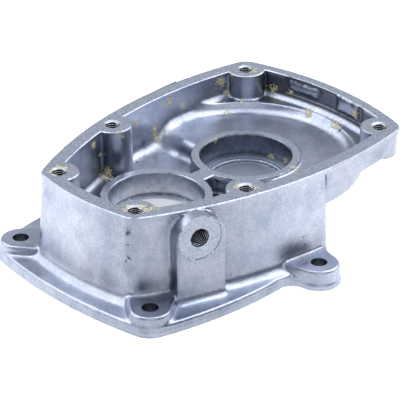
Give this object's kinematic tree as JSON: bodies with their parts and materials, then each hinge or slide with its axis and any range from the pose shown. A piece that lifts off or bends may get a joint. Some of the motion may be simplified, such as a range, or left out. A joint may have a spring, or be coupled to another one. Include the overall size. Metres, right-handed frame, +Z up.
{
  "type": "gearbox housing",
  "caption": "Open half of a small die-cast gearbox housing with a gear chamber, a pinion chamber, bearing seats, a screwed cover face, base ears and a side port.",
  "frame": {"origin": "centre of the bounding box in the base plane, on which the housing is bolted down", "axes": "+X along the length towards the gear end, +Z up out of the cover face, -Y towards the side port"},
  "size_m": [0.1734, 0.1512, 0.046],
  "materials": {
    "cast_aluminium": "satin, as cast, with machined faces"
  },
  "bodies": {
    "root": {"housing": "cast_aluminium"}
  },
  "joints": []
}
